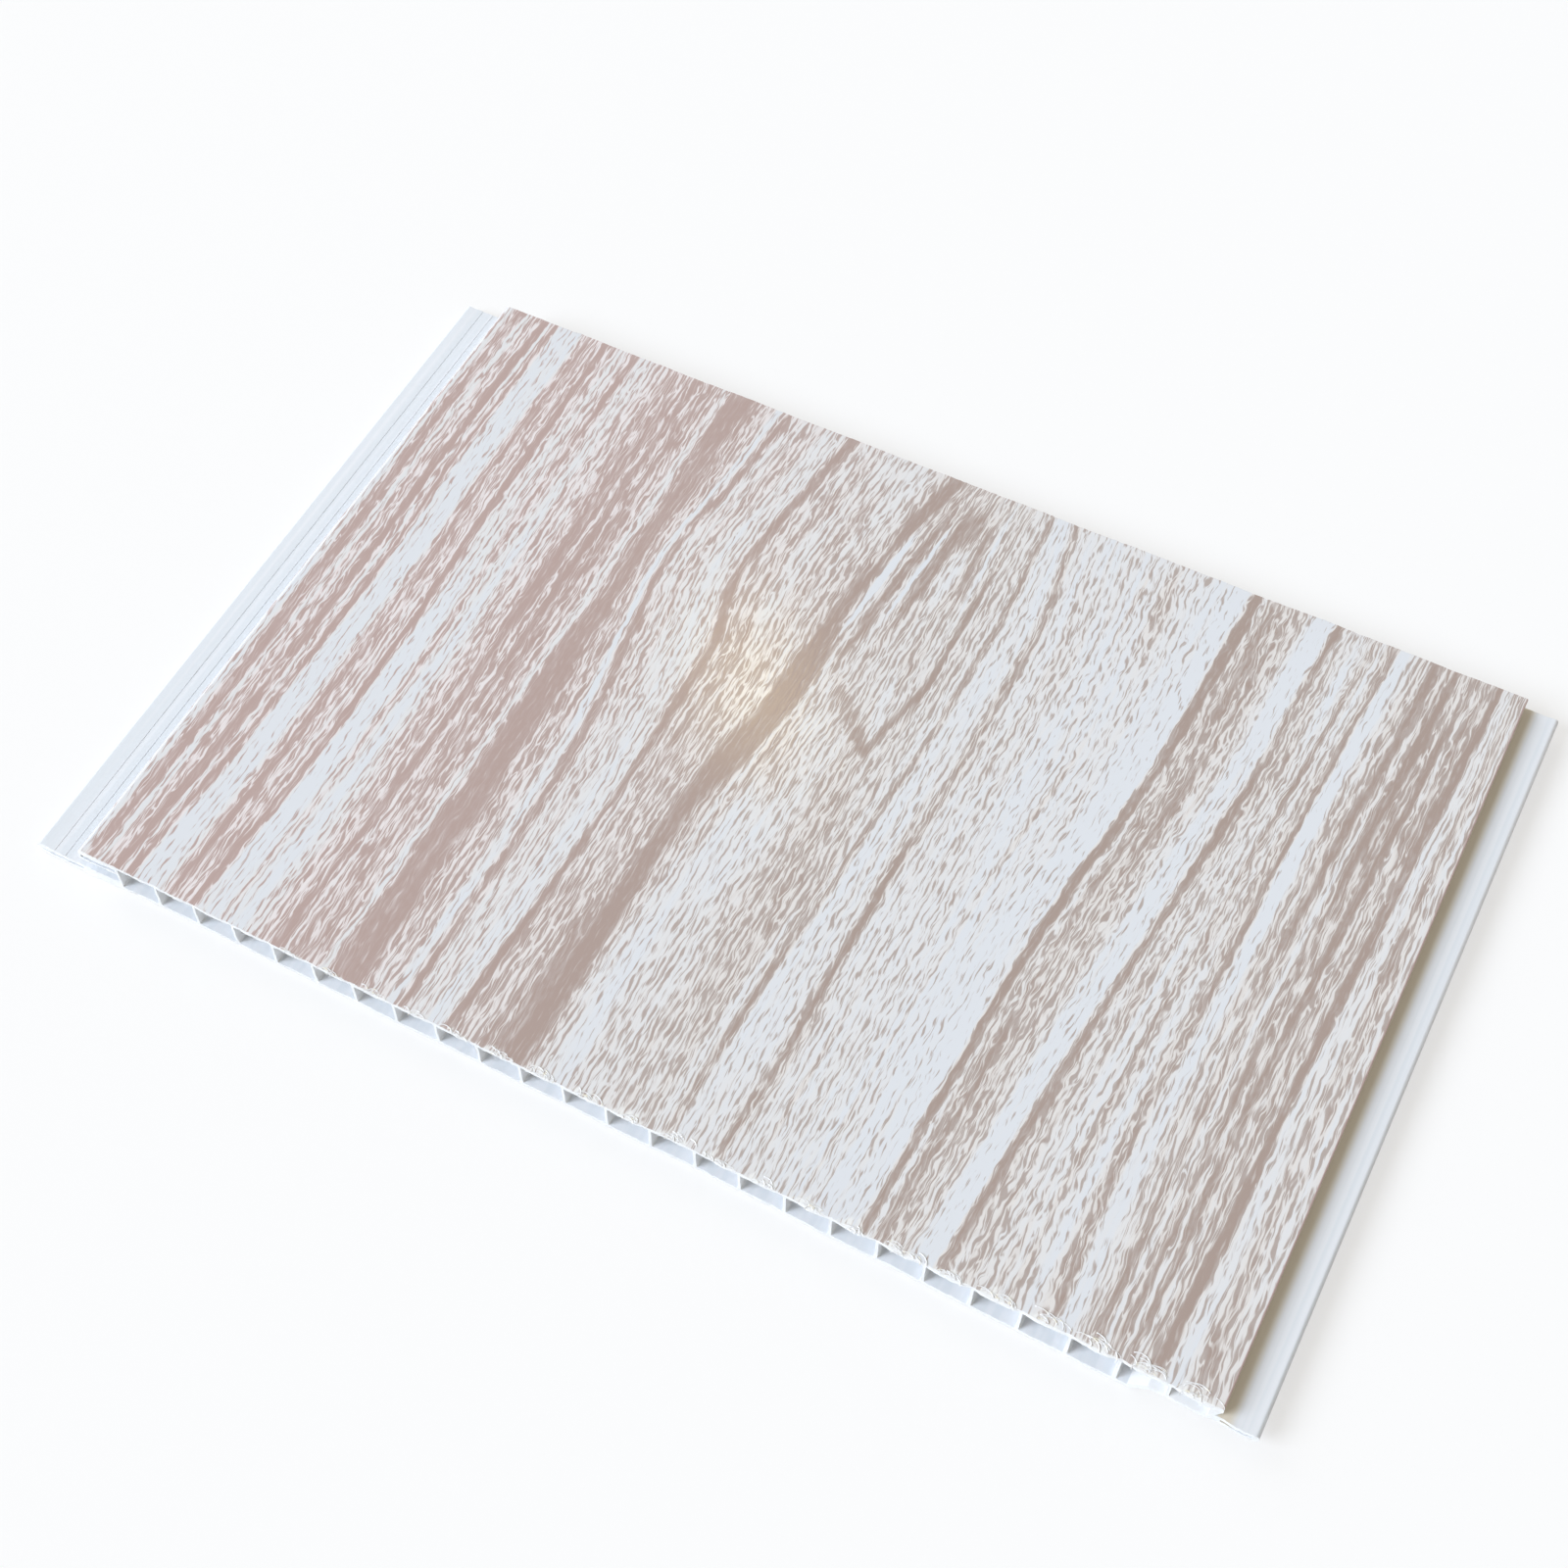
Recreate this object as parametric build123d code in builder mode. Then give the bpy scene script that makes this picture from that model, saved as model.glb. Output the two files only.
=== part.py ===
from build123d import *
import os

# Hollow ceiling panel, a short sawn length of one extrusion of rigid white plastic. Two skins are
# joined by a row of upright webs. The left edge carries a fixing flange flush with the back and
# a groove above it. The right edge carries the tongue that slides into the next panel's groove,
# and the back is stepped up there to clear the next panel's flange. X runs across the panel, Y
# along the extrusion and Z up, with the printed face on top. The origin is on the back, at the
# middle of the whole piece. The lower Y end is the one with the slanting saw cut.

# Panel
length = 167.3
cover_width = 250.0
thickness = 8.0
face_skin = 0.9
back_skin = 0.9
left_edge_radius = 1.2
right_edge_radius = 0.4
saw_lean = 0.7

# Webs
web = 0.6
web_pitch = 9.6
web_root_radius = 0.35
least_end_cell = 3.0

# Fixing flange
flange_reach = 11.8
flange_thickness = 2.6
flange_nose_radius = 1.0
nail_band = 4.6
guide_width = 1.3
guide_depth = 0.35
guide_pitch = 2.8
guide_count = 2

# Tongue
tongue_reach = 7.4
tongue_thickness = 2.0
tongue_nose_radius = 0.9
lip_edge = 1.0
lip_undercut = 1.2
end_wall = 1.1

# Fit between neighbouring panels
flange_clearance = 0.2
step_clearance = 1.0
groove_clearance = 1.9
mouth_clearance = 0.3
step_inset = 2.9
step_run = 3.5

# Narrow hollows of the groove roof, the flange and the tongue
thin_wall = 0.7
roof_slit_height = 0.9
slit_height = 0.5
slit_end = 1.2
slit_radius = 0.2

# Positions across the panel
left_face = (flange_reach - tongue_reach - cover_width) / 2
right_face = left_face + cover_width
flange_nose = left_face - flange_reach
tongue_nose = right_face + tongue_reach
groove_wall = left_face + tongue_reach + groove_clearance
tongue_root = right_face - lip_undercut
cell_left = groove_wall + web
cell_right = tongue_root - end_wall
first_web = groove_wall + web / 2
web_count = int((cell_right - least_end_cell - first_web) // web_pitch)

# The step rises in the last cell that leaves room for the next panel's flange
step_room = right_face - flange_reach - step_clearance - step_run - step_inset - first_web
step_foot = first_web + int(step_room // web_pitch) * web_pitch + step_inset
step_top = step_foot + step_run

# Heights above the back
step_height = flange_thickness + flange_clearance
tongue_top = step_height + tongue_thickness
groove_roof = tongue_top + mouth_clearance
face_underside = thickness - face_skin

# Outer edge of the section, with its rounded noses and the two guide grooves of the flange
with BuildSketch(Plane.XZ) as outer:
    with BuildLine():
        Polyline(
            (flange_nose, 0),
            (step_foot, 0),
            (step_top, step_height),
            (tongue_nose, step_height),
            (tongue_nose, tongue_top),
            (tongue_root, tongue_top),
            (right_face, thickness - lip_edge),
            (right_face, thickness),
            (left_face, thickness),
            (left_face, groove_roof),
            (groove_wall, groove_roof),
            (groove_wall, flange_thickness),
            (flange_nose, flange_thickness),
            close=True,
        )
    make_face()
    fillet(outer.vertices().sort_by(Axis.X)[:2], flange_nose_radius)
    fillet(outer.vertices().sort_by(Axis.X)[-2:], tongue_nose_radius)
    fillet(outer.vertices().sort_by(Axis.Y)[-2:].sort_by(Axis.X)[0], left_edge_radius)
    fillet(outer.vertices().sort_by(Axis.Y)[-2:].sort_by(Axis.X)[-1], right_edge_radius)
    for guide_index in range(guide_count):
        guide_left = flange_nose + nail_band + guide_index * guide_pitch
        with Locations((guide_left + guide_width / 2, flange_thickness)):
            Rectangle(guide_width, 2 * guide_depth, mode=Mode.SUBTRACT)

# Hollow between the skins, divided by the webs
with BuildSketch(Plane.XZ) as cells:
    with BuildLine():
        Polyline(
            (cell_left, back_skin),
            (step_foot - back_skin / 2, back_skin),
            (step_top - back_skin / 2, step_height + back_skin),
            (cell_right, step_height + back_skin),
            (cell_right, face_underside),
            (cell_left, face_underside),
            close=True,
        )
    make_face()
    for web_index in range(1, web_count + 1):
        with Locations((first_web + web_index * web_pitch, thickness / 2)):
            Rectangle(web, thickness, mode=Mode.SUBTRACT)
    fillet(cells.vertices(), web_root_radius)

# Narrow hollows above the groove, in the flange and in the tongue
roof_slit_left = left_face + thin_wall
roof_slit_middle = groove_roof + thin_wall + roof_slit_height / 2
roof_slit_width = groove_wall - roof_slit_left
flange_slit_width = flange_reach - slit_end
flange_slit_middle = flange_nose + slit_end + flange_slit_width / 2
tongue_slit_width = tongue_reach - slit_end
tongue_slit_middle = right_face + tongue_slit_width / 2
with BuildSketch(Plane.XZ) as slits:
    with Locations((roof_slit_left + roof_slit_width / 2, roof_slit_middle)):
        Rectangle(roof_slit_width, roof_slit_height)
    with Locations((flange_slit_middle, back_skin + slit_height / 2)):
        Rectangle(flange_slit_width, slit_height)
    with Locations((tongue_slit_middle, step_height + tongue_thickness / 2)):
        Rectangle(tongue_slit_width, slit_height)
    fillet(slits.vertices(), slit_radius)

# The extrusion, sawn slanting at its front end so that the back is longer than the face
whole_length = length + saw_lean
with BuildPart() as panel:
    with BuildSketch(Plane.XZ):
        add(outer.sketch)
        add(cells.sketch, mode=Mode.SUBTRACT)
        add(slits.sketch, mode=Mode.SUBTRACT)
    extrude(amount=whole_length, both=True)
    with BuildSketch(Plane.YZ):
        with BuildLine():
            Polyline(
                (-whole_length / 2, 0),
                (whole_length / 2, 0),
                (whole_length / 2, thickness),
                (saw_lean - whole_length / 2, thickness),
                close=True,
            )
        make_face()
    extrude(amount=cover_width, both=True, mode=Mode.INTERSECT)

os.makedirs("parts", exist_ok=True)
panel.part.label = "panel"
export_step(panel.part, "parts/panel.step")
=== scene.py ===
import bmesh
import bpy
import random
from math import pi, radians, sin
from mathutils import Matrix, Vector, noise


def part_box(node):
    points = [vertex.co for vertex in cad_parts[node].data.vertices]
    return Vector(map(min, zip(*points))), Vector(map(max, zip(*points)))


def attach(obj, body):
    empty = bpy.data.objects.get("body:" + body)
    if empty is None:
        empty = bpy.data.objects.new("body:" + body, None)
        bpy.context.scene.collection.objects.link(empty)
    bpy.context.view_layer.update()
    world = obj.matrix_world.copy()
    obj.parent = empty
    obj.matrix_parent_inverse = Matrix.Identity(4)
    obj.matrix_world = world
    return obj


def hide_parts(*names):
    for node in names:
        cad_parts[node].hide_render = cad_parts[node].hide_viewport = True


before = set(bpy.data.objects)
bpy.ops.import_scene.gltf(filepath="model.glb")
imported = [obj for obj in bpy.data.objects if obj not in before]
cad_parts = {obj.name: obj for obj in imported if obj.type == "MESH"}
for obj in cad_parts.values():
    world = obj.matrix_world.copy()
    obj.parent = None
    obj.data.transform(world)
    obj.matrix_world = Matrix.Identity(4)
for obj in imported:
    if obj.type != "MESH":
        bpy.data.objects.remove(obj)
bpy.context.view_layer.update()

# The camera stands beyond the corner where the tongue meets the slanting saw cut, and looks down
# across the printed face towards the far end of the fixing flange.
camera_right = Vector((0.88388, 0.46690, -0.02745))
camera_up = Vector((-0.38405, 0.75802, 0.52718))
camera_back = Vector((0.26695, -0.45542, 0.84931))
camera_data = bpy.data.cameras.new("camera")
camera_data.sensor_width = 36
camera_data.lens = 51.95
camera = bpy.data.objects.new("camera", camera_data)
camera_place = Matrix.Translation((0.12269, -0.21606, 0.40262))
camera_turn = Matrix((camera_right, camera_up, camera_back)).transposed().to_4x4()
camera.matrix_world = camera_place @ camera_turn
bpy.context.scene.collection.objects.link(camera)
bpy.context.scene.camera = camera

# The panel is one extrusion of rigid white plastic, with its skins, webs, flange and tongue in one.
# It was sawn by hand from a long panel, so both ends are a little wavy and torn, and the lower
# edge of the near end stands out beyond the face. Between the webs the sawn face skin sags out.
# Lengths are in mm. A cut station is a place across the panel, and how far the lower edge stands
# out there. A saw wave is its height, its length across and up the cut, and its seed.
mm = 0.001
thickness = 8.0
saw_lean = 0.7
web_pitch = 9.6
first_web = -113.2
near_end = -84.0
far_end = 84.0
end_zone = 80.0
end_reach = 1.5
cut_step = 0.8
cut_levels = range(1, 8)
cut_level_offset = 0.07
cut_stations = [
    (-135, 0.95), (-122, 0.9), (-108, 0.5), (30, 0.5), (60, 0.9), (100, 1.35), (135, 1.25),
]
saw_waves = [(0.22, 14, 20, 0), (0.12, 2.6, 3, 5), (0.14, 0.9, 1.1, 9)]
sag = 0.2
wide_sag = 0.5
wide_sag_start = 45
far_end_shift = 400
far_end_inset = 0.1
guide_floor = 2.25
guide_fill = 0.28
beside_guides = (-130.6, -125.3)
left_edge_radius = 1.2
smooth_angle = radians(28)
film_slot = 1
cut_slot = 2

panel_mesh = bpy.data.meshes.new("sawn_panel")
panel = bpy.data.objects.new("sawn_panel", panel_mesh)
bpy.context.scene.collection.objects.link(panel)
sawn = bmesh.new()
sawn.from_mesh(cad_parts["panel"].data)
bmesh.ops.remove_doubles(sawn, verts=sawn.verts, dist=0.001 * mm)


def cut_through(place, direction, only_ends):
    """Runs a flat cut through the panel, or through its two ends only, to give it more points"""
    if only_ends:
        faces = [f for f in sawn.faces if abs(f.calc_center_median().y) > end_zone * mm]
        edges = list({e for f in faces for e in f.edges})
        verts = list({v for f in faces for v in f.verts})
        around = verts + edges + faces
    else:
        around = sawn.verts[:] + sawn.edges[:] + sawn.faces[:]
    bmesh.ops.bisect_plane(sawn, geom=around, plane_co=place, plane_no=direction, dist=0.002 * mm)


for beside in beside_guides:
    cut_through((beside * mm, 0, 0), (1, 0, 0), False)
cut_through((0, -end_zone * mm, 0), (0, 1, 0), False)
cut_through((0, end_zone * mm, 0), (0, 1, 0), False)
panel_low, panel_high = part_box("panel")
stations = int((panel_high.x - panel_low.x) / (cut_step * mm))
for station in range(1, stations + 1):
    cut_through((panel_low.x + station * cut_step * mm, 0, 0), (1, 0, 0), True)
for level in cut_levels:
    cut_through((0, 0, (level + cut_level_offset) * mm), (0, 0, 1), True)


def lean_at(across):
    """How far the lower edge of the near end stands out beyond the face, in mm"""
    for (x0, out0), (x1, out1) in zip(cut_stations, cut_stations[1:]):
        if across <= x1:
            return out0 + (out1 - out0) * max(0, across - x0) / (x1 - x0)
    return cut_stations[-1][1]


def saw_wave(x, z):
    """How far the saw's waves and chips stand out at a place of a cut, in mm"""
    return sum(
        height * noise.noise(Vector((x / across, seed, z / up)))
        for height, across, up, seed in saw_waves
    )


def near_cut(x, z):
    """How far the near end's cut is moved out at a place, on top of the solid's own lean, in mm"""
    up = z / thickness
    between_webs = abs(sin(pi * (x - first_web) / web_pitch))
    sagging = between_webs * (wide_sag if x > wide_sag_start else sag) * up
    return (lean_at(x) - saw_lean) * (1 - up) + saw_wave(x, z) + sagging


for v in sawn.verts:
    x, y, z = (v.co / mm)[:]
    if beside_guides[0] < x < beside_guides[1] and abs(z - guide_floor) < 0.01:
        v.co.z += guide_fill * mm
    if y < near_end + end_reach:
        v.co.y -= near_cut(x, z) * mm
    elif y > far_end - end_reach:
        v.co.y += (saw_wave(x + far_end_shift, 0) - far_end_inset) * mm

bmesh.ops.recalc_face_normals(sawn, faces=sawn.faces)
for e in sawn.edges:
    e.smooth = len(e.link_faces) == 2 and e.calc_face_angle(0) < smooth_angle
for f in sawn.faces:
    f.smooth = True
    near_top = f.calc_center_median().z / mm > thickness - left_edge_radius
    if near_top and f.normal.z > 0.15 and abs(f.normal.y) < 0.5:
        f.material_index = film_slot
    elif abs(f.normal.y) > 0.6:
        f.material_index = cut_slot
sawn.to_mesh(panel_mesh)
sawn.free()


class Tone:
    """One socket of a material's nodes. Sums and products of tones add the Math nodes for them."""

    def __init__(self, nodes, socket):
        self.nodes = nodes
        self.socket = socket

    def add(self, kind, settings=None, inputs=None, output=0):
        """Adds a node: its settings first, then the value or the tone that goes into each input"""
        made = self.nodes.new(kind)
        for name, setting in (settings or {}).items():
            setattr(made, name, setting)
        for name, value in (inputs or {}).items():
            if isinstance(value, Tone):
                self.nodes.id_data.links.new(value.socket, made.inputs[name])
            else:
                made.inputs[name].default_value = value
        return Tone(self.nodes, made.outputs[output])

    def math(self, operation, *values):
        """Adds a Math node for the values"""
        return self.add("ShaderNodeMath", {"operation": operation}, dict(enumerate(values)))

    def __add__(self, other):
        return self.math("ADD", self, other)

    __radd__ = __add__

    def __sub__(self, other):
        return self.math("SUBTRACT", self, other)

    def __rsub__(self, other):
        return self.math("SUBTRACT", other, self)

    def __mul__(self, other):
        return self.math("MULTIPLY", self, other)

    __rmul__ = __mul__

    def __truediv__(self, other):
        return self.math("DIVIDE", self, other)

    def clear(self, low=0.0, high=1.0, before=0.0, after=1.0):
        """Goes smoothly from one value at low to another at high"""
        return self.add(
            "ShaderNodeMapRange",
            {"interpolation_type": "SMOOTHSTEP"},
            {0: self, 1: low, 2: high, 3: before, 4: after},
        )

    def curve(self, points, smooth):
        """Follows a curve through points, given as pairs of numbers from 0 to 1"""
        drawn = self.add("ShaderNodeFloatCurve", None, {"Value": self})
        mapping = drawn.socket.node.mapping
        line = mapping.curves[0]
        while len(line.points) < len(points):
            line.points.new(0.5, 0.5)
        for knot, (place, height) in zip(line.points, points):
            knot.location = (place, height)
            knot.handle_type = "AUTO_CLAMPED" if smooth else "VECTOR"
        mapping.update()
        return drawn

    def into(self, node, name):
        """Feeds the socket of that name on a node"""
        self.nodes.id_data.links.new(self.socket, node.inputs[name])

    def mix(self, first, second):
        """Mixes two colours, with self as the share of the second"""
        return self.add("ShaderNodeMix", {"data_type": "RGBA"}, {0: self, 6: first, 7: second}, 2)

    def grain(self, across, along, seed, fine=2.0, rough=0.5):
        """Noise for points given across and along the panel, with a seed that sets it apart"""
        place = self.add("ShaderNodeCombineXYZ", None, {0: across, 1: along, 2: seed})
        return self.add(
            "ShaderNodeTexNoise",
            {"noise_dimensions": "3D"},
            {"Vector": place, "Scale": 1.0, "Detail": fine, "Roughness": rough},
        )


def start_material(name, settings):
    """Starts a material, and gives it with the tones of the place in mm and with its shader"""
    material = bpy.data.materials.new(name)
    material.use_nodes = True
    nodes = material.node_tree.nodes
    shader = nodes["Principled BSDF"]
    for socket, value in settings.items():
        shader.inputs[socket].default_value = value
    start = Tone(nodes, nodes.new("ShaderNodeTexCoord").outputs["Object"])
    parts = start.add("ShaderNodeSeparateXYZ", None, {0: start})
    place = [Tone(nodes, parts.socket.node.outputs[axis]) * (1 / mm) for axis in range(3)]
    return material, place, shader


def seen(start):
    """1 for what the camera sees straight, in a mirror or through a clear thing, and 0 elsewhere"""
    rays = ("Is Camera Ray", "Is Glossy Ray", "Is Transmission Ray")
    straight, mirrored, through = [start.add("ShaderNodeLightPath", output=ray) for ray in rays]
    return straight + mirrored + through


# The body's own plastic is a cool white with a soft gloss. Drawing it through the die leaves faint
# straight bands along its length. On the tongue next to the face a warm grey is a painted shadow
# cast by the face's edge, and within the cells a brighter white is painted light that fills them.
back_skin = 0.9
face_underside = 7.1
cells_end = 125.1
cool_white = (0.745, 0.78, 0.82, 1)
pale_white = (0.81, 0.83, 0.865, 1)
shadow_warm_grey = (0.72, 0.66, 0.55, 1)
painted_light_white = (0.95, 0.95, 0.95, 1)
plastic, (px, py, pz), plastic_shader = start_material(
    "rigid_white_plastic", {"IOR": 1.53, "Specular IOR Level": 0.45}
)
die_lines = px.grain(px * 1.7, py * 0.006, pz * 1.7, 3.0, 0.6)
bands = px.grain(px * 0.7, py * 0.004, pz * 0.3, 1.0)
plastic_tone = bands.clear(0.35, 0.65).mix(cool_white, pale_white)
# Painted shadow: a warm grey on the tongue beside the face, where the face's edge casts its shade.
painted_shadow_beside_face = px.clear(128.3, 130.4, 1, 0) * px.clear(126.0, 127.0)
plastic_tone = painted_shadow_beside_face.mix(plastic_tone, shadow_warm_grey)
# Painted light: the plastic within the cells is a brighter white, for light that fills the cells.
beside_webs = px.clear(first_web - 0.1, first_web + 0.1)
beside_webs = beside_webs * px.clear(cells_end - 0.1, cells_end + 0.1, 1, 0)
painted_light_in_cells = beside_webs * pz.clear(back_skin - 0.02, back_skin + 0.05)
painted_light_in_cells = painted_light_in_cells * pz.clear(face_underside - 0.05, face_underside + 0.02, 1, 0)
plastic_tone = painted_light_in_cells.mix(plastic_tone, painted_light_white)
die_relief = px.add(
    "ShaderNodeBump", None, {"Strength": 0.10, "Distance": 0.2 * mm, "Height": die_lines}
)
plastic_tone.into(plastic_shader, "Base Color")
(0.30 + 0.12 * die_lines).into(plastic_shader, "Roughness")
die_relief.into(plastic_shader, "Normal")

# The face is covered by a printed film with a whitewashed wood grain. Brown flecks run along the
# panel on a cool white ground. They crowd into dark seams and thin out into pale streaks, which
# follow a few guide lines. A guide has its home, where it is on the plain grain, and then the
# points that it passes, each as its distance along the panel and across it.
film, (fx, fy, _), film_shader = start_material(
    "grain_print", {"IOR": 1.48, "Specular IOR Level": 0.4}
)
left_face = -122.8
face_width = 250.0
right_face = 127.2
guide_reach = 24.0
guides = [
    (-122.8, (0, -122.8)),
    (-108.0, (80, -108.4), (40, -108.5), (10, -107.0), (-40, -107.4), (-80, -109.4)),
    (-101.4, (80, -101.2), (40, -101.1), (10, -100.2), (-40, -100.6), (-80, -101.3)),
    (-92.4, (80, -95.2), (40, -94.1), (15, -93.3), (-10, -92.2), (-35, -91.9), (-80, -94.0)),
    (-60.5, (80, -61.0), (0, -60.2), (-80, -60.8)),
    (-46.4, (80, -46.6), (60, -48.6), (35, -51.3), (15, -48.6), (-30, -43.6), (-80, -43.6)),
    (
        -31.0, (80, -30.8), (60, -33.8), (42, -35.6), (15, -30.9), (-20, -30.9), (-50, -32.2),
        (-80, -33.8),
    ),
    (
        -14.6, (80, -3.5), (60, -8.3), (40, -11.0), (20, -11.9), (0, -14.8), (-25, -17.0),
        (-80, -18.0),
    ),
    (19.2, (80, 19.6), (45, 20.9), (20, 20.4), (0, 19.2), (-30, 17.6), (-60, 15.4), (-80, 15.2)),
    (28.2, (80, 25.6), (60, 28.6), (40, 29.4), (0, 28.1), (-80, 26.4)),
    (61.3, (80, 67.6), (50, 66.2), (20, 63.8), (0, 61.0), (-25, 58.8), (-80, 56.6)),
    (72.8, (80, 80.2), (40, 78.0), (0, 73.4), (-40, 69.6), (-80, 66.4)),
    (79.4, (80, 86.0), (40, 83.6), (0, 79.4), (-40, 75.3), (-80, 72.4)),
    (97.2, (80, 100.9), (40, 98.2), (0, 97.2), (-40, 96.2), (-80, 97.2)),
    (117.0, (80, 121.4), (40, 119.2), (0, 117.0), (-40, 115.4), (-80, 114.0)),
    (127.2, (0, 127.2)),
]
place_along = (fy + far_end) / (far_end - near_end)
wander = fx.grain(fx * 0.11, fy * 0.03, 3.1, 2.0) - 0.5
wiggle = fx.grain(fx * 0.45, fy * 0.22, 4.4, 1.0) - 0.5
strayed = fx + 1.3 * wander + 0.8 * wiggle
lines = []
for home, *passed in guides:
    course = []
    for along, across in sorted(passed):
        share_along = (along - near_end) / (far_end - near_end)
        course.append((share_along, 0.5 + (across - home) / guide_reach))
    if len(course) == 1:
        course.append((1, course[0][1]))
    lines.append(home + guide_reach * (place_along.curve(course, True) - 0.5))
flow = left_face
for (start, *_), (end, *_), line, next_line in zip(guides, guides[1:], lines, lines[1:]):
    share = fx.add("ShaderNodeClamp", None, {0: (strayed - line) / (next_line - line)})
    flow = flow + share * (end - start)

# How crowded the flecks are on the plain grain: each zone's start, its softness there, and the
# crowding at the far and the near end of the panel.
zones = [
    (-122.8, 0.1, 0.58, 0.62), (-107.4, 0.3, -0.05, -0.05), (-101.4, 0.3, 0.62, 0.58),
    (-91.2, 0.5, 0.42, 0.0), (-79.0, 3.0, 0.60, 0.60), (-61.0, 0.8, 0.86, 0.88),
    (-54.4, 1.5, 0.75, 0.62), (-51.8, 2.0, 0.45, 0.50), (-44.5, 1.0, 0.44, 0.30),
    (-38.0, 1.0, 0.42, 0.10), (-32.2, 0.6, 0.46, 0.60), (-20.0, 2.0, 0.46, 0.76),
    (-12.0, 1.0, 0.65, 0.35), (-8.0, 1.5, 0.60, 0.12), (-3.0, 2.0, 0.60, 0.30),
    (5.0, 3.0, 0.46, 0.48), (17.0, 1.5, 0.38, 0.35), (20.4, 0.5, 0.06, 0.15),
    (26.6, 1.2, 0.34, 0.34), (33.0, 2.0, 0.22, 0.16), (44.0, 3.0, 0.14, 0.03),
    (54.0, 2.0, -0.08, -0.04), (60.4, 0.4, 0.66, 0.58), (70.8, 0.8, 0.50, 0.45),
    (72.6, 0.3, -0.06, -0.06), (78.3, 0.3, 0.52, 0.40), (83.0, 2.0, 0.50, 0.38),
    (93.0, 1.0, 0.62, 0.60), (95.5, 0.4, -0.10, -0.05), (98.9, 0.4, 0.62, 0.54),
    (105.5, 1.5, 0.76, 0.66), (118.2, 0.5, 0.22, 0.12), (121.5, 1.0, 0.50, 0.50),
]
place_across = (flow - left_face) / face_width
far_knots, near_knots = [], []
for (start, soft, far, near), (end, next_soft, *_) in zip(zones, zones[1:] + [(right_face, 0.1)]):
    for edge in (start + soft, end - next_soft):
        far_knots.append(((edge - left_face) / face_width, far))
        near_knots.append(((edge - left_face) / face_width, near))
far_crowd = place_across.curve(far_knots, False)
near_crowd = place_across.curve(near_knots, False)
crowding = near_crowd + (far_crowd - near_crowd) * place_along

# Thin seams and pale streaks on the plain grain: place, half width, and what each adds.
streaks = [
    (-121.6, 1.3, -0.45), (-118.6, 1.0, 0.28), (-116.2, 0.7, -0.35), (-111.4, 1.1, 0.38),
    (-109.9, 0.5, -0.35), (-107.9, 0.7, 0.45), (-99.0, 0.8, 0.30), (-95.6, 0.8, -0.10),
    (-92.4, 0.8, 0.38), (-85.2, 0.8, 0.30), (-81.5, 1.0, -0.15), (-75.8, 0.6, 0.12),
    (-72.6, 1.2, 0.24), (-69.0, 0.9, 0.26), (-66.5, 0.7, 0.15), (-62.2, 0.9, -0.30),
    (-57.4, 3.0, 0.12), (-48.9, 0.8, -0.45), (-46.4, 0.8, 0.40), (-41.0, 0.7, 0.12),
    (-36.0, 1.2, -0.10), (-31.0, 0.9, 0.45), (-27.0, 0.8, 0.08), (-24.0, 1.2, -0.12),
    (-15.0, 1.7, 0.30), (-9.6, 0.5, -0.20), (3.0, 0.8, -0.10), (16.6, 0.6, -0.15),
    (19.2, 0.7, 0.38), (23.5, 0.8, 0.06), (28.2, 0.8, 0.40), (31.5, 0.8, -0.15),
    (36.0, 0.8, 0.12), (41.5, 0.8, -0.1), (46.6, 0.5, 0.25), (50.2, 0.6, 0.10), (61.2, 1.0, 0.45),
    (62.9, 0.6, -0.25), (65.8, 1.4, 0.10), (79.3, 1.0, 0.50), (85.5, 0.8, -0.20),
    (88.9, 0.6, 0.30), (91.2, 0.8, -0.20), (94.6, 0.6, 0.25), (100.6, 0.5, -0.20),
    (103.3, 0.7, 0.30), (105.4, 0.6, -0.35), (107.8, 0.7, 0.25), (109.4, 0.5, -0.20),
    (111.2, 0.7, 0.28), (113.0, 0.6, -0.30), (117.0, 0.9, 0.50), (122.8, 0.7, 0.18),
    (125.2, 0.7, -0.20),
]
broken = fx.grain(flow * 0.35, fy * 0.055, 12.0, 2.0).clear(0.3, 0.6, 0.7, 1.15)
for place, half_width, gain in streaks:
    away = fx.math("ABSOLUTE", flow - place)
    crowding = crowding + away.clear(half_width * 0.4, half_width * 1.6, gain, 0) * broken

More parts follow.
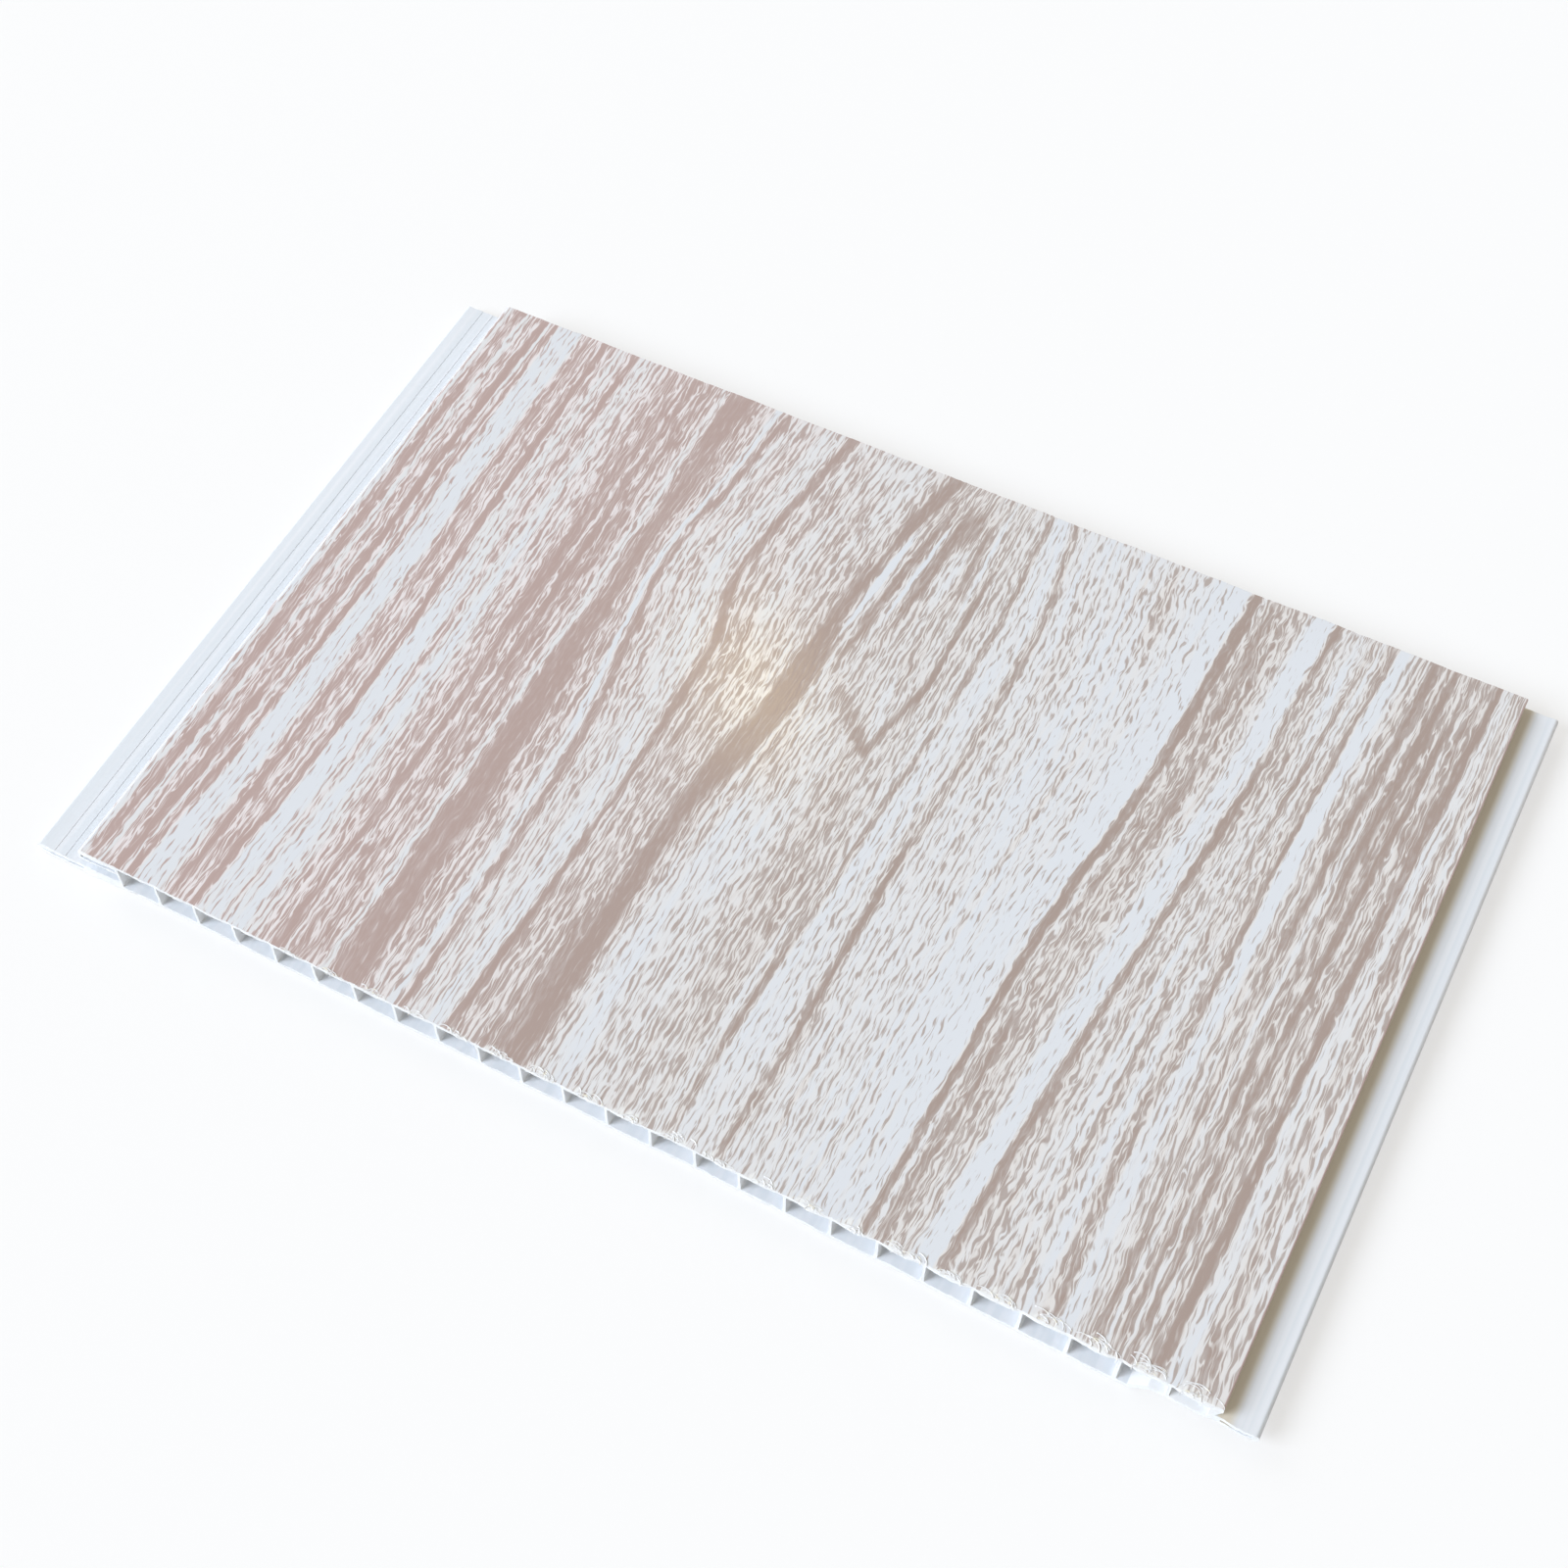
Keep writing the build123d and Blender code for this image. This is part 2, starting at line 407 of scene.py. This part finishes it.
# The flame in the middle and the other knots of grain: place across and along, half width, half
# length, lean in degrees, and what each adds.
figures = [
    (-86.8, 72, 0.8, 14, 0, 0.50), (-85, 40, 4.0, 18, 0, 0.10), (-70, 50, 7, 30, 0, 0.07),
    (-74, 12, 0.7, 14, 0, 0.25), (-66, 20, 4, 24, 0, 0.08), (-24, 12, 6, 26, 0, 0.10),
    (-14, 74, 6, 12, 0, -0.12), (-7, 50, 0.9, 17, -5, -0.95), (-4.6, 34, 1.0, 8, -8, 0.3),
    (-10.8, 20, 3.2, 17, -5, 0.32), (-14.2, -2, 3.2, 13, -9, 0.30),
    (-17.2, -30, 3.2, 24, -2, 0.15), (-20.0, -62, 4.5, 30, 3, 0.10),
    (16.2, -42, 1.2, 40, 1, 0.28), (27.3, -36, 1.3, 44, 1, 0.30), (-7.0, 3, 3.6, 16, 15, 0.22),
    (-12.6, -6, 1.8, 16, -6, 0.25), (-24, -66, 9, 22, 0, 0.14), (-6.0, 74, 2.4, 14, -12, 0.25),
    (-88.6, -28, 2.4, 40, 0, -0.35), (-3.2, 56, 1.5, 26, -5, 0.40), (-8.8, 56, 1.0, 28, -8, 0.18),
    (-10, 30, 2.6, 12, -4, 0.10), (-0.5, 57, 0.5, 15, -4, -0.75), (1.8, 58, 1.5, 18, -3, 0.42),
    (5.0, 72.5, 4.2, 6.5, 0, 0.27), (9.3, 64, 1.1, 11, 2, 0.42), (5.6, 59, 2.0, 9, 0, -0.30),
    (11.6, 66, 0.6, 18, 2, -0.45), (14.2, 44, 0.8, 24, 0, 0.55), (12.2, 22, 1.0, 12, -11, 0.50),
    (9.6, 10.5, 1.5, 2.5, 0, 0.30), (2.6, 17.0, 1.8, 10, 42, 0.36), (7.8, 23, 1.4, 10, 6, -0.45),
    (-2, 8, 4, 9, 30, -0.08), (-3.5, -20, 4.5, 20, 0, -0.24), (9.0, -22, 4, 36, 0, 0.14),
    (4.0, -35, 4, 14, 0, 0.12), (-9.5, -52, 2.5, 25, 0, -0.12), (51, 70, 2.5, 14, 0, 0.28),
    (44.6, 66, 0.5, 14, 0, 0.40), (38, 45, 2, 10, 0, 0.1), (62, -45, 1.5, 22, -4, 0.2),
    (90, 62, 2.2, 14, 0, -0.28), (110, 50, 5, 25, 0, 0.12),
]
spread = fx.add("ShaderNodeCombineXYZ", None, {0: fx + 0.5 * wander + 0.6 * wiggle, 1: fy})
for across, along, half_width, half_length, lean, gain in figures:
    inside = spread.add(
        "ShaderNodeMapping",
        {"vector_type": "TEXTURE"},
        {
            "Vector": spread,
            "Location": (across, along, 0),
            "Rotation": (0, 0, radians(lean)),
            "Scale": (half_width, half_length, 1),
        },
    )
    reach = spread.add("ShaderNodeVectorMath", {"operation": "LENGTH"}, {0: inside}, 1)
    crowding = crowding + reach.clear(0.4, 1.4, gain, 0)
stripes = fx.grain(flow * 0.7, fy * 0.022, 1.3, 1.0) - 0.5
blotches = fx.grain(flow * 0.2, fy * 0.05, 7.7, 2.0) - 0.5
crowding = crowding + 0.07 + fx.clear(15, 30, 0.65, 1.0) * stripes + 0.4 * blotches

# The flecks stand in close wavy columns along the panel. On the left they join into long lines, and
# on the right they are short dashes. Seams are solid, and pale cracks run through what is nearly
# solid. How dark a fleck is, and how its colour shifts, follow how crowded the place is.
even_crowding = 0.46
full_crowding = 0.9
fleck_contrast = 14
crowd_contrast = 3.3
seam_fill = 0.6
pale_ground = (0.755, 0.778, 0.816, 1)
grey_ground = (0.785, 0.780, 0.785, 1)
column = fx + fx.clear(25, 55, 0.5, 1.0) * (flow - fx) + fx.clear(92, 104, 0.8, 0.35) * wiggle
shifted = 0.7 * column
sway = fx.grain(fx * 0.12, fy * 0.03, 8.4, 1.0) - 0.5
comb = fx.math("SINE", column * 4.8 + 9.0 * sway) * fx.clear(-10, 40, 0.065, 0.055)
strands = fx.grain(column * 1.7, fy * 0.15 + shifted, 0.0, 1.5, 0.5) - 0.5
dashes = fx.grain(column * 2.1, fy * 0.29 + shifted, 6.0, 1.5, 0.5) - 0.5
braid = fx.clear(-30, 60, 0.5, 0.75) - fx.clear(92, 104, 0, 0.45)
flecks = strands * (1 - braid) + dashes * braid + comb
cracks = fx.math("ABSOLUTE", fx.grain(column * 0.9, fy * 0.13 + shifted, 9.0, 1.0) - 0.5)
seam = crowding.clear(0.75, 1.1)
crack_share = cracks.clear(0.012, 0.050, 0.9, 0) * (1 - seam)
packed = crowding.math("MINIMUM", crowding, full_crowding)
fleck_height = fleck_contrast * flecks * (1 - 0.4 * seam)
fleck_height = fleck_height + crowd_contrast * (packed - even_crowding)
printed = fleck_height.clear(-0.8, 0.8) * (1 - crack_share)
printed = printed + seam_fill * seam * (1 - printed)
side = (fx / face_width + 0.5).clear(0.1, 0.6)
ground = crowding.clear(0.0, 0.35).mix(pale_ground, grey_ground)
between = side.mix((0.85, 0.79, 0.79, 1), (0.79, 0.755, 0.73, 1))
ground = crowding.clear(0.3, 0.7).mix(ground, between)
pale_brown = side.mix((0.515, 0.39, 0.365, 1), (0.475, 0.405, 0.375, 1))
seam_brown = side.mix((0.50, 0.370, 0.340, 1), (0.41, 0.32, 0.28, 1))
mottle = fx.grain(fx * 1.1, fy * 0.5, 3.3, 2.0) - 0.5
depth = crowding + 1.2 * strands + 0.8 * dashes + 1.2 * mottle
brown = depth.clear(0.5, 1.35).mix(pale_brown, seam_brown)
film_tone = printed.mix(ground, brown)

# Along the near end the saw has lifted the film: its last bit is torn off, and beyond each cell a
# pale haze of scratches reaches further in. The cut edge on the tongue's side is a dull red brown.
film_end = -83.7
torn_white = (0.92, 0.93, 0.94, 1)
haze_white = (0.92, 0.92, 0.90, 1)
edge_brown = (0.60, 0.45, 0.42, 1)
across_cell = fx.math("FRACT", (fx - first_web) / web_pitch)
torn_noise = fx.grain(fx * 0.9, fy * 0.2, 8.0, 2.0)
haze_reach = across_cell * (1 - across_cell) * fx.clear(-80, 10, 3, 9)
haze_reach = haze_reach * torn_noise.clear(0.25, 0.75, 0.5, 1.5)
scratches = fx.grain(fx * 1.6, fy * 0.3, 2.2, 1.0).clear(0.3, 0.6)
haze = (haze_reach + film_end - fy).clear(0, 1.2, 0, 0.75) * scratches
film_tone = haze.mix(film_tone, haze_white)
torn = (fy - film_end - 0.6 * torn_noise).clear(-0.1, 0.1)
film_tone = torn.mix(torn_white, film_tone)
film_tone = fx.clear(right_face - 0.45, right_face - 0.25).mix(film_tone, edge_brown)
film_tone.into(film_shader, "Base Color")
(0.11 + 0.03 * printed).into(film_shader, "Roughness")
emboss = fx.grain(fx * 4.0, fy * 4.0, 5.0, 1.0) * 0.3 + flecks
film_relief = fx.add(
    "ShaderNodeBump", None, {"Strength": 0.10, "Distance": 0.2 * mm, "Height": emboss}
)
film_relief.into(film_shader, "Normal")

# The saw leaves the cut ends dull and white, scored across by its teeth.
cut, (cx, cy, cz), cut_shader = start_material(
    "sawn_plastic", {"IOR": 1.5, "Specular IOR Level": 0.3, "Roughness": 0.7}
)
score = cx.grain(cx * 1.2, cy * 2.0, cz * 5.0, 4.0, 0.65)
cut_tone = score.clear(0.25, 0.75).mix((0.84, 0.86, 0.87, 1), (0.92, 0.92, 0.92, 1))
cut_relief = cx.add(
    "ShaderNodeBump", None, {"Strength": 0.5, "Distance": 0.3 * mm, "Height": score}
)
cut_tone.into(cut_shader, "Base Color")
cut_relief.into(cut_shader, "Normal")

for material in (plastic, film, cut):
    panel_mesh.materials.append(material)
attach(panel, "root")
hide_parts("panel")

# The saw lifts thin threads of torn film along the top edge of the near end. They lie in small arcs
# flat on the face in the middle of each cell, where the skin gave way under the teeth.
curl_webs = range(4, 25)
curl_height = 0.02
curl_thickness = 0.04
curl_faces = 9
curl_spread = 1.4
draw = random.Random(7)
curl_mesh = bpy.data.meshes.new("saw_curls")
curls = bpy.data.objects.new("saw_curls", curl_mesh)
bpy.context.scene.collection.objects.link(curls)
shaving = bmesh.new()
for web_index in curl_webs:
    web_x = first_web + web_index * web_pitch
    size = 0.7 + 0.3 * (web_x > -20) + 0.5 * (web_x > 80)
    for _ in range(draw.randint(8, 14)):
        x = web_x + web_pitch / 2 + draw.gauss(0, curl_spread)
        y = near_end - near_cut(x, thickness) + draw.uniform(0.2, 0.9) * size
        middle = Vector((x, y, thickness + curl_height)) * mm
        radius = draw.uniform(0.6, 1.9) * size
        width = draw.uniform(0.12, 0.24)
        first = len(shaving.verts)
        inner = shaving.verts.new(middle + Vector((radius, 0, 0)) * mm)
        outer = shaving.verts.new(middle + Vector((radius + width, 0, 0.5 * width)) * mm)
        bmesh.ops.spin(
            shaving,
            geom=[inner, outer, shaving.edges.new((inner, outer))],
            cent=middle,
            axis=(0, 0, 1),
            dvec=(0, 0, draw.uniform(0, 0.004) * mm),
            angle=draw.uniform(1.0, 2.4),
            steps=curl_faces,
            use_merge=False,
            use_duplicate=False,
        )
        shaving.verts.ensure_lookup_table()
        thread = shaving.verts[first:]
        about = Matrix.Translation(-middle)
        turn = Matrix.Rotation(draw.uniform(-0.3, 1.2), 3, "Z")
        bmesh.ops.rotate(shaving, cent=middle, matrix=turn, verts=thread)
        bmesh.ops.scale(shaving, vec=(1, draw.uniform(0.45, 1.0), 1), space=about, verts=thread)
bmesh.ops.recalc_face_normals(shaving, faces=shaving.faces)
for f in shaving.faces:
    f.smooth = True
shaving.to_mesh(curl_mesh)
shaving.free()
thick = curls.modifiers.new("thick", "SOLIDIFY")
thick.thickness = curl_thickness * mm
curl_stuff, (ux, uy, uz), curl_shader = start_material(
    "torn_film", {"Alpha": 0.9, "Roughness": 0.25, "Specular IOR Level": 0.6}
)
straw = (0.97, 0.92, 0.78, 1)
film_white = (0.98, 0.98, 0.98, 1)
curl_tone = ux.grain(ux * 0.8, uy * 0.8, uz, 1.0).clear(0.32, 0.42).mix(straw, film_white)
curl_tone.into(curl_shader, "Base Color")
curl_mesh.materials.append(curl_stuff)
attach(curls, "root")

# The floor is a plain white studio table under soft daylight from the left. Table and sky look
# white to the camera, and the panel's shadow stays on the table.
table_size = 3.0
table_drop = 0.2
table_glow = 0.6
table_mesh = bpy.data.meshes.new("table")
table = bpy.data.objects.new("table", table_mesh)
bpy.context.scene.collection.objects.link(table)
top = bmesh.new()
bmesh.ops.create_grid(top, x_segments=1, y_segments=1, size=table_size)
top.to_mesh(table_mesh)
top.free()
table_paint, (tx, *_), table_shader = start_material(
    "table_paint", {"Base Color": (0.93, 0.93, 0.93, 1), "Roughness": 0.8}
)
glow = tx.add("ShaderNodeEmission", None, {"Color": (1, 1, 1, 1), "Strength": 1.0})
paint = Tone(tx.nodes, table_shader.outputs[0])
table_top = tx.add("ShaderNodeMixShader", None, {0: table_glow * seen(tx), 1: paint, 2: glow})
table_top.into(tx.nodes["Material Output"], "Surface")
table_mesh.materials.append(table_paint)
table.location.z = -table_drop * mm

world = bpy.data.worlds.new("daylight")
bpy.context.scene.world = world
world.use_nodes = True
background = world.node_tree.nodes["Background"]
sky = Tone(world.node_tree.nodes, background.outputs[0])
seen(sky).mix((0.42, 0.39, 0.345, 1), (1, 1, 1, 1)).into(background, "Color")


def lamp(kind, name, place, aim, power, colour):
    """A lamp of some kind that faces the point that it is aimed at"""
    light = bpy.data.lights.new(name, kind)
    light.energy = power
    light.color = colour
    holder = bpy.data.objects.new(name, light)
    holder.location = place
    holder.rotation_euler = (Vector(aim) - Vector(place)).to_track_quat("-Z", "Y").to_euler()
    bpy.context.scene.collection.objects.link(holder)
    return light


window = lamp("SUN", "window", (-0.80, -0.75, 0.80), (0, 0, 0), 3.07, (0.79, 0.88, 1.0))
window.angle = radians(33)
side_light = lamp("SUN", "side", (-1.1, 0.45, 0.7), (0, 0, 0), 0.6, (0.95, 0.97, 1.0))
side_light.angle = radians(30)

# A small warm lamp stands where the camera sees it mirrored in the face, and leaves a bright spot.
glint_place = (-0.387, 0.612, 1.036)
glint = lamp("AREA", "glint", glint_place, (-0.021, 0.013, 0.008), 0.16, (1.0, 0.80, 0.33))
glint.shape = "RECTANGLE"
glint.size = 0.035
glint.size_y = 0.09

bpy.context.scene.view_settings.view_transform = "Standard"
